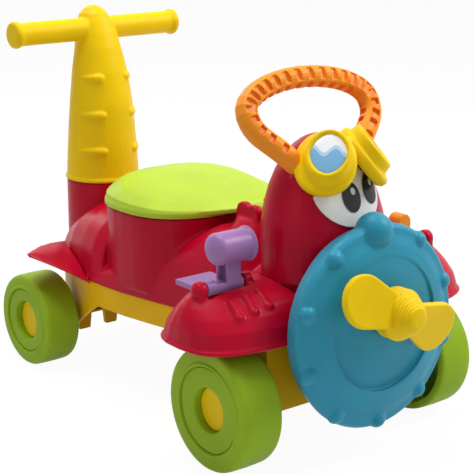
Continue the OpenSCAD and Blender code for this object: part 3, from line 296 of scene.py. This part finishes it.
finish = {
    "red": plastic("red_plastic", RED, roughness=0.32, sheen=0.14),
    "yellow": plastic("yellow_plastic", YELLOW, roughness=0.42, sheen=0.13),
    "yellow_dark": plastic("chassis_plastic", CHASSIS_YELLOW, roughness=0.46, sheen=0.15),
    "lime": seat_plastic("lime_plastic", LIME),
    "green": plastic("green_plastic", GREEN, roughness=0.5, sheen=0.15, grain=0.08),
    "teal": plastic("teal_plastic", TEAL, roughness=0.4, sheen=0.2),
    # The hand loop gets painted shade in its pockets, a deeper orange where its skin is enclosed
    "orange": plastic("orange_plastic", ORANGE, roughness=0.42, sheen=0.2, pocket_shade=POCKET_SHADE_ORANGE),
    "purple": plastic("purple_plastic", PURPLE, sheen=0.3),
    "white": plastic("eye_plastic", EYE_WHITE, roughness=0.34, sheen=0.3, grain=0.03),
    "black": eye_paint("pupil_paint", PUPIL, eye_spots),
    "pale_blue": lens_plastic("lens_print"),
    "bush": plastic("nylon", NYLON, roughness=0.5, sheen=0.2, grain=0.1),
    "steel": metal("turned_steel", STEEL, roughness=0.3),
}
screw_metal = metal("screw_steel", SCREW, roughness=0.4)


# Pieces

def link(name, mesh):
    piece = bpy.data.objects.new(name, mesh)
    scene.collection.objects.link(piece)
    return piece


def baked(piece):
    """Puts what the modifiers make into the piece's own mesh."""
    done = piece.evaluated_get(bpy.context.evaluated_depsgraph_get())
    mesh = bpy.data.meshes.new_from_object(done)
    piece.modifiers.clear()
    old, piece.data = piece.data, mesh
    bpy.data.meshes.remove(old)


def dress(piece, node, slot, stands_for=True):
    """Gives a piece its finish, body and slot."""
    piece.data.materials.clear()
    piece.data.materials.append(finish[slot])
    for face in piece.data.polygons:
        face.use_smooth = True
        face.material_index = 0
    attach(piece, node_body[node])
    if stands_for:
        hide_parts(node)
    return piece


# Mouldings

# Nodes whose rims meet, and the reach in which a rim stays crisp
SEAMS = {"body_shell": "chassis", "chassis": "body_shell"}
SEAM_REACH = 2.0 * MM


def away_from_seam(piece, other):
    """Vertex group of what lies clear of the node that the piece meets."""
    data = nodes[other].data
    rim = BVHTree.FromPolygons([v.co for v in data.vertices], [p.vertices for p in data.polygons])
    clear = [v.index for v in piece.data.vertices if rim.find_nearest(v.co, SEAM_REACH)[0] is None]
    group = piece.vertex_groups.new(name="soft")
    group.add(clear, 1.0, "REPLACE")
    return group.name


def moulded(node, slot, voxel, rounds, keep):
    """Copy of a CAD node whose edges are melted into the soft radii of a moulding, except along its seam."""
    piece = link(node + "_moulded", nodes[node].data.copy())
    skin = piece.modifiers.new("skin", "REMESH")
    skin.mode = "VOXEL"
    skin.voxel_size = voxel * MM
    group = ""
    if node in SEAMS:
        baked(piece)
        group = away_from_seam(piece, SEAMS[node])
    soften = piece.modifiers.new("soften", "SMOOTH")
    soften.factor = 0.5
    soften.iterations = rounds
    soften.vertex_group = group
    thin = piece.modifiers.new("thin", "DECIMATE")
    thin.ratio = keep
    baked(piece)
    piece.vertex_groups.clear()
    return dress(piece, node, slot)


# Node, slot, size of the skin's cells in mm, rounds of softening, and the share of faces that is kept
MOULDINGS = [
    ("body_shell", "red", 1.5, 12, 0.4),
    ("wing_right", "red", 0.9, 14, 0.3),
    ("wing_left", "red", 0.9, 14, 0.3),
    ("tail_fin_right", "red", 0.9, 6, 0.5),
    ("tail_fin_left", "red", 0.9, 6, 0.5),
    ("head_shell", "red", 1.3, 12, 0.4),
    ("chassis", "yellow_dark", 0.8, 8, 0.12),
    ("nose_disc", "teal", 1.1, 9, 0.5),
    ("propeller", "yellow", 0.8, 40, 0.5),
    ("push_handle", "yellow", 1.2, 9, 0.4),
    ("hand_loop", "orange", 0.7, 5, 0.5),
    ("seat_lid", "lime", 1.1, 9, 0.4),
    ("lever_right", "purple", 0.7, 5, 0.5),
    ("lever_left", "orange", 0.7, 5, 0.5),
    ("eye_plate", "white", 0.4, 4, 0.4),
    ("pupils", "black", 0.25, 4, 0.4),
]
for moulding in MOULDINGS:
    moulded(*moulding)


# Drawn pieces

def around(turns):
    """Angles of a full turn."""
    return [2 * math.pi * k / turns for k in range(turns)]


def skinned(mesh, rows):
    """Closed skin over rings with the same number of points."""
    for inner, outer in zip(rows, rows[1:]):
        for k in range(len(inner)):
            n = (k + 1) % len(inner)
            mesh.faces.new([inner[k], outer[k], outer[n], inner[n]])
    mesh.faces.new(rows[0])
    mesh.faces.new(rows[-1])


def turned(mesh, outline, place, turns=96):
    """Ring with a closed outline of (radius, depth) in mm, put in its place."""
    rows = []
    for t in around(turns):
        spots = [(p.x * MM * math.cos(t), p.x * MM * math.sin(t), p.y * MM) for p in outline]
        rows.append([mesh.verts.new(place(*spot)) for spot in spots])
    for k, row in enumerate(rows):
        after = rows[(k + 1) % turns]
        for i in range(len(outline)):
            j = (i + 1) % len(outline)
            mesh.faces.new([row[i], row[j], after[j], after[i]])


def rounded(corners, steps=5):
    """Outline through corners of (radius, depth, softness)."""
    path = []
    for i, (radius, depth, soft) in enumerate(corners):
        here = Vector((radius, depth))
        if not soft:
            path.append(here)
            continue
        back = Vector(corners[i - 1][:2]) - here
        on = Vector(corners[(i + 1) % len(corners)][:2]) - here
        start = here + back.normalized() * min(soft, back.length * 0.49)
        end = here + on.normalized() * min(soft, on.length * 0.49)
        for k in range(steps):
            t = k / (steps - 1)
            path.append(start * (1 - t) ** 2 + here * 2 * t * (1 - t) + end * t * t)
    return path


def finished(mesh, name, node, slot, sharp, stands_for=True):
    """Piece from a drawn mesh, smooth up to an angle in degrees."""
    bmesh.ops.recalc_face_normals(mesh, faces=mesh.faces)
    data = bpy.data.meshes.new(name)
    mesh.to_mesh(data)
    mesh.free()
    piece = dress(link(name, data), node, slot, stands_for)
    data.set_sharp_from_angle(angle=math.radians(sharp))
    return piece


# Wheels and hub caps: radii, and depths behind the outer face, in mm

HUB_HOLE_R = 25.2
CAP_DEPTH = 10.0
CAP_T = 3.0
WEB_DEPTH = 9.0
TREAD_T = 9
TREAD_SHORT = 1.5
HUB_R = 29
HUB_BACK = 23
SLEEVE_R = 10
BORE_R = 4.05
NUT_ROOM_R = 12
NUT_ROOM_DEPTH = 19
RIBS = 6
RIB_T = 2.5
RIB_SHORT = 10
# How far a rib runs into the hub and into the tread
RIB_IN, RIB_OUT = 1.5, 0.5
CAP_RINGS, CAP_TURNS = 24, 72
CAP_SHARE = 0.97
CAP_EYE = 0.01
CAP_SINK = 0.8
CAP_DISH = 0.5
CAP_EDGE = 0.6
# Fold of a cap: how far under its middle, the way down and across, and its slope
FOLD_DROP = 1.5
FOLD_DOWN, FOLD_ACROSS = 0.96, 0.26
FOLD_SLOPE = 0.06


def axle_frame(node):
    """Side, outer face, and middle of a turned node in m, with its radius and width in mm."""
    low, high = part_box(node)
    side = 1 if low.x + high.x > 0 else -1
    face = max(abs(low.x), abs(high.x))
    y, z = (low.y + high.y) / 2, (low.z + high.z) / 2
    return side, face, y, z, (high.z - low.z) / 2 / MM, (high.x - low.x) / MM


def wheel_outline(r, span, wide):
    """Outline of a wheel, from the hub hole over face and tread to the bore."""
    hub = [(HUB_HOLE_R, CAP_DEPTH + CAP_T, 0), (HUB_HOLE_R, 2.6, 2.2), (HUB_HOLE_R + 7, 2.3, 3)]
    groove = [(0.675 * r, 2.2, 0.5), (0.68 * r, 4, 0.5), (0.695 * r, 4, 0.5)]
    bead = [(0.705 * r, 0.1, 1), (0.75 * r, 0, 1.2), (0.765 * r, 1.6, 1)]
    tread = [(r - 0.5, 1.4, 6), (r, 0.5 * wide, 0), (r - 0.5, wide, 6), (r - TREAD_T, wide, 2)]
    back = [(r - TREAD_T, WEB_DEPTH, 3), (HUB_R, WEB_DEPTH, 2), (HUB_R, HUB_BACK, 0)]
    sleeve = [(SLEEVE_R, HUB_BACK, 1), (SLEEVE_R, span, 0), (BORE_R, span, 0), (BORE_R, NUT_ROOM_DEPTH, 0)]
    nut_room = [(NUT_ROOM_R, NUT_ROOM_DEPTH, 0), (NUT_ROOM_R, CAP_DEPTH + CAP_T, 0)]
    return rounded(hub + groove + bead + tread + back + sleeve + nut_room)


def wheel(node):
    """Hollow wheel with a bead on its face and ribs behind its web."""
    side, face, y, z, r, span = axle_frame(node)
    wide = span - TREAD_SHORT
    mesh = bmesh.new()
    turned(mesh, wheel_outline(r, span, wide), lambda u, v, deep: (side * (face - deep), y + u, z + v))
    rib_start, rib_end = HUB_R - RIB_IN, r - TREAD_T + RIB_OUT
    rib_back = wide - RIB_SHORT
    middle = Matrix.Translation((side * (face - (WEB_DEPTH + rib_back) / 2 * MM), y, z))
    out = Matrix.Translation((0, (rib_start + rib_end) / 2 * MM, 0))
    size = Matrix.Diagonal(((rib_back - WEB_DEPTH) * MM, (rib_end - rib_start) * MM, RIB_T * MM, 1))
    for t in around(RIBS):
        bmesh.ops.create_cube(mesh, size=1, matrix=middle @ Matrix.Rotation(t, 4, "X") @ out @ size)
    return finished(mesh, node + "_turned", node, "green", 40)


def hub_cap(node):
    """Cap with a flat upper part and a lower part that leans out, folded along a slanting line."""
    side, face, y, z, r, _ = axle_frame(node)
    mesh = bmesh.new()
    rows = []
    for ring in range(CAP_RINGS + 1):
        share = max(CAP_EYE, ring / CAP_RINGS)
        edge = CAP_EDGE if ring == CAP_RINGS else 0
        row = []
        for t in around(CAP_TURNS):
            u, v = CAP_SHARE * r * share * math.cos(t), CAP_SHARE * r * share * math.sin(t)
            below = max(0.0, -(v + FOLD_DROP) * FOLD_DOWN + FOLD_ACROSS * u * side)
            depth = CAP_SINK - FOLD_SLOPE * below + CAP_DISH * share * share + edge
            row.append(mesh.verts.new((side * (face - depth * MM), y + u * MM, z + v * MM)))
        rows.append(row)
    rows.append([mesh.verts.new((side * (face - CAP_T * MM), v.co.y, v.co.z)) for v in rows[-1]])
    skinned(mesh, rows)
    return finished(mesh, node + "_folded", node, "yellow", 12)


for corner in ("front_right", "front_left", "rear_right", "rear_left"):
    wheel("wheel_" + corner)
    hub_cap("hub_cap_" + corner)


# Hub of the propeller: sizes in mm, and shares of its length

SPINNER_TIP_R, SPINNER_BASE_R = 11.0, 28.0
SPINNER_RINGS, SPINNER_POINTS = 9, 130
SPINNER_EYE_R = 0.05
SPINNER_SKIN = 0.5
TIP_SHARE, CONE_SHARE = 0.03, 0.65
TIP_ROUND = 4
RIDGE = 0.9


def propeller_hub():
    """Cone of rings, one behind the other, over the hub of the propeller."""
    low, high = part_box("propeller")
    shaft_low, shaft_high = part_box("propeller_shaft")
    shaft = (shaft_low + shaft_high) / 2
    long = (high.y - low.y) / MM - SPINNER_SKIN
    outline = [Vector((SPINNER_EYE_R, 0))]
    for k in range(SPINNER_POINTS + 1):
        share = k / SPINNER_POINTS
        cone = min(1.0, max(0.0, (share - TIP_SHARE) / (CONE_SHARE - TIP_SHARE)))
        radius = SPINNER_TIP_R + (SPINNER_BASE_R - SPINNER_TIP_R) * cone ** 0.8 + SPINNER_SKIN
        radius -= TIP_ROUND * max(0.0, 1 - share / TIP_SHARE) ** 2
        if TIP_SHARE < share < CONE_SHARE:
            radius += RIDGE * abs(math.sin(math.pi * SPINNER_RINGS * share / CONE_SHARE)) ** 0.7
        outline.append(Vector((radius, share * long)))
    outline.append(Vector((SPINNER_EYE_R, long)))
    mesh = bmesh.new()
    turned(mesh, outline, lambda u, v, deep: (shaft.x + u, low.y + deep, shaft.z + v))
    return finished(mesh, "propeller_hub_rings", "propeller", "yellow", 60, False)


propeller_hub()


# Goggles and their lenses

# The way the left lens looks, and its roundness
LENS_LOOK = (0.6, -0.5, 0.62)
LENS_SHAPE = 1.75
LENS_TURNS, LENS_RINGS = 72, 10
LENS_EYE = 0.02
LENS_DOME = 1.2 * MM
LENS_EDGE = 0.5 * MM
LENSES = (("lens_right", -1), ("lens_left", 1))
GOGGLE_TURNS = 96
# Rings of a cup: growth past the lens and height over its face in mm, roundness, and drift out and down in mm
CUP_RINGS = [
    (-0.6, -3.0, 1.75, 0), (0.3, 0.6, 1.8, 0), (1.2, 1.8, 1.85, 0), (2.8, 2.4, 1.95, 0), (4.4, 1.8, 2.0, 0.2),
    (5.4, 0.2, 2.05, 0.5), (6.0, -3.0, 2.1, 1.0), (6.8, -7.0, 2.1, 1.7), (7.8, -9.2, 2.1, 2.4),
    (10.0, -10.2, 2.1, 3.2), (12.4, -11.0, 2.1, 3.9), (13.9, -12.6, 2.1, 4.3), (14.5, -15.5, 2.1, 4.5),
    (14.0, -20.0, 2.1, 4.5), (10.0, -24.0, 2.1, 4.5)]
# Rings of the bridge between the cups: place across and radius in mm
BRIDGE_RINGS = [(-14, 9.4), (-10, 8.7), (-5, 8.2), (0, 8), (5, 8.2), (10, 8.7), (14, 9.4)]
# The bridge lies behind and above the middle of the lenses
BRIDGE_FROM_LENSES = Vector((0, 6, 6)) * MM


def lens_frame(node, side):
    """Middle of a lens, its axes, and its half sizes along them."""
    points = [v.co.copy() for v in nodes[node].data.vertices]
    out = Vector((side * LENS_LOOK[0], LENS_LOOK[1], LENS_LOOK[2])).normalized()
    across = Vector((0, 0, 1)).cross(out).normalized()
    up = out.cross(across).normalized()
    spans = []
    centre = Vector()
    for axis in (across, up, out):
        low, high = min(p.dot(axis) for p in points), max(p.dot(axis) for p in points)
        spans.append((high - low) / 2)
        centre += axis * (low + high) / 2
    return centre, (across, up, out), spans


def oval(t, wide, tall, shape):
    """Point of a rounded outline at an angle."""
    x = wide * math.copysign(abs(math.cos(t)) ** (2 / shape), math.cos(t))
    return x, tall * math.copysign(abs(math.sin(t)) ** (2 / shape), math.sin(t))


def goggles():
    """Two cups with a rolled rim and a flared brim, and the saddle between them."""
    mesh = bmesh.new()
    angles = around(GOGGLE_TURNS)
    middle = Vector()
    for node, side in LENSES:
        centre, (across, up, out), (wide, tall, depth) = lens_frame(node, side)
        middle += centre / len(LENSES)
        rows = []
        for grow, lift, shape, drift in CUP_RINGS:
            spots = [oval(t, wide + grow * MM, tall + grow * MM, shape) for t in angles]
            at = centre + out * (depth + lift * MM) + (across * side - up) * drift * MM
            rows.append([mesh.verts.new(at + across * x + up * y) for x, y in spots])
        skinned(mesh, rows)
    saddle = middle + BRIDGE_FROM_LENSES
    rows = []
    for x, r in BRIDGE_RINGS:
        ring = [Vector((x, r * math.cos(t), r * math.sin(t))) for t in angles]
        rows.append([mesh.verts.new(saddle + spot * MM) for spot in ring])
    skinned(mesh, rows)
    return finished(mesh, "goggles_cups", "goggles", "yellow", 60)


def lens(node, side):
    """Slightly domed lens, with its print laid out across it."""
    centre, (across, up, out), (wide, tall, depth) = lens_frame(node, side)
    mesh = bmesh.new()
    uv = mesh.loops.layers.uv.new("print")
    grid = []
    for ring in range(LENS_RINGS + 1):
        share = max(LENS_EYE, ring / LENS_RINGS)
        edge = LENS_EDGE if ring == LENS_RINGS else 0
        lift = depth + LENS_DOME * (1 - share * share) - edge
        row = []
        for t in around(LENS_TURNS):
            x, y = oval(t, wide * share, tall * share, LENS_SHAPE)
            vertex = mesh.verts.new(centre + across * x + up * y + out * lift)
            row.append((vertex, (0.5 + x / (2 * wide), 0.5 + y / (2 * tall))))
        grid.append(row)

    def printed_face(corners):
        made = mesh.faces.new([vertex for vertex, _ in corners])
        for loop, (_, place) in zip(made.loops, corners):
            loop[uv].uv = place
    for inner, outer in zip(grid, grid[1:]):
        for k in range(LENS_TURNS):
            n = (k + 1) % LENS_TURNS
            printed_face([inner[k], outer[k], outer[n], inner[n]])
    printed_face(grid[0])
    data = bpy.data.meshes.new(node + "_print")
    mesh.to_mesh(data)
    mesh.free()
    return dress(link(node + "_print", data), node, "pale_blue")


goggles()
for lens_node, lens_side in LENSES:
    lens(lens_node, lens_side)


# Hardware keeps its CAD shape

def keep_cad(names, mat):
    for name in names:
        piece = nodes[name]
        piece.data.materials.clear()
        piece.data.materials.append(mat)


keep_cad(["front_axle", "rear_axle", "propeller_shaft", "seat_hinge_pin", "lever_pin_right", "lever_pin_left",
          "front_push_nuts", "rear_push_nuts", "propeller_clip"], finish["steel"])
keep_cad(["front_bushes", "rear_bushes"], finish["bush"])
keep_cad(["chassis_screws", "disc_screws", "head_screws", "wing_screws", "handle_screws"], screw_metal)


# Stage and light

FLOOR_REACH = 6.0
FLOOR_GREY = (0.75, 0.75, 0.75, 1)
# Glow of the floor where it is seen, and the share that the glow takes of it
FLOOR_GLOW, GLOW_SHARE = 1.04, 0.91
# Light of the sky, and its level where it is seen
SKY_LIGHT, SKY_SEEN = 0.28, 1.0
# Lamps: name, place and size in m, power in W
LAMPS = [
    ("key", (1.6, -1.1, 1.9), 1.0, 38),
    ("top", (-0.2, 0.3, 2.2), 1.2, 29),
    ("fill", (-2.0, -0.9, 1.0), 1.6, 3),
    ("back", (0.3, 2.2, 1.4), 1.4, 10),
]
LAMP_AIM = (0, 0, 0.2)


def seen_rays(tree):
    """One where the camera looks, directly or through a mirror or glass."""
    seen = add(tree, "ShaderNodeLightPath").outputs
    rays = math_node(tree, "MAXIMUM", seen["Is Camera Ray"], seen["Is Glossy Ray"])
    return math_node(tree, "MAXIMUM", rays, seen["Is Transmission Ray"])


def stage_material(name):
    """Pale floor: white to the camera, and still shaded by the toy."""
    mat = bpy.data.materials.new(name)
    mat.use_nodes = True
    tree = mat.node_tree
    tree.nodes.clear()
    matte = add(tree, "ShaderNodeBsdfDiffuse", Color=FLOOR_GREY)
    glow = add(tree, "ShaderNodeEmission", Color=WHITE, Strength=FLOOR_GLOW)
    both = add(tree, "ShaderNodeMixShader")
    tree.links.new(math_node(tree, "MULTIPLY", seen_rays(tree), GLOW_SHARE), both.inputs["Fac"])
    tree.links.new(matte.outputs[0], both.inputs[1])
    tree.links.new(glow.outputs[0], both.inputs[2])
    out = add(tree, "ShaderNodeOutputMaterial")
    tree.links.new(both.outputs[0], out.inputs["Surface"])
    return mat


def floor():
    corners = [(x * FLOOR_REACH, y * FLOOR_REACH, 0) for x, y in ((-1, -1), (1, -1), (1, 1), (-1, 1))]
    mesh = bpy.data.meshes.new("floor")
    mesh.from_pydata(corners, [], [(0, 1, 2, 3)])
    mesh.materials.append(stage_material("pale_floor"))
    link("floor", mesh)


def studio():
    """White sky that lights the toy less than it shows."""
    world = bpy.data.worlds.new("studio")
    scene.world = world
    world.use_nodes = True
    tree = world.node_tree
    sky = tree.nodes["Background"]
    sky.inputs["Color"].default_value = WHITE
    level = add(tree, "ShaderNodeMapRange", From_Min=0.0, From_Max=1.0, To_Min=SKY_LIGHT, To_Max=SKY_SEEN)
    tree.links.new(seen_rays(tree), level.inputs["Value"])
    tree.links.new(level.outputs["Result"], sky.inputs["Strength"])


def lamp(name, place, size, power):
    light = bpy.data.lights.new(name, "AREA")
    light.shape = "DISK"
    light.size = size
    light.energy = power
    holder = link(name, light)
    holder.location = place
    holder.rotation_euler = (Vector(LAMP_AIM) - Vector(place)).to_track_quat("-Z", "Y").to_euler()


floor()
studio()
for lamp_values in LAMPS:
    lamp(*lamp_values)


# Camera of the photograph: its place from the front axle's middle on the ground, the way it looks, and its lens

CAMERA_FROM_AXLE = Vector((-1.037598, -1.125817, 0.649387))
CAMERA_YAW = 0.892
CAMERA_PITCH = 0.265
FOCAL_PIXELS = 1416.52
FRAME_PIXELS = 474
SENSOR_WIDTH = 36

axle_low, axle_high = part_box("front_axle")
axle_y = (axle_low.y + axle_high.y) / 2
view = bpy.data.cameras.new("camera")
view.sensor_width = SENSOR_WIDTH
view.lens = SENSOR_WIDTH * FOCAL_PIXELS / FRAME_PIXELS
camera = link("camera", view)
camera.location = CAMERA_FROM_AXLE + Vector((0, axle_y, 0))
level_share = math.cos(CAMERA_PITCH)
ahead = Vector((math.cos(CAMERA_YAW) * level_share, math.sin(CAMERA_YAW) * level_share, -math.sin(CAMERA_PITCH)))
camera.rotation_euler = ahead.to_track_quat("-Z", "Y").to_euler()
scene.camera = camera
scene.view_settings.view_transform = "Standard"
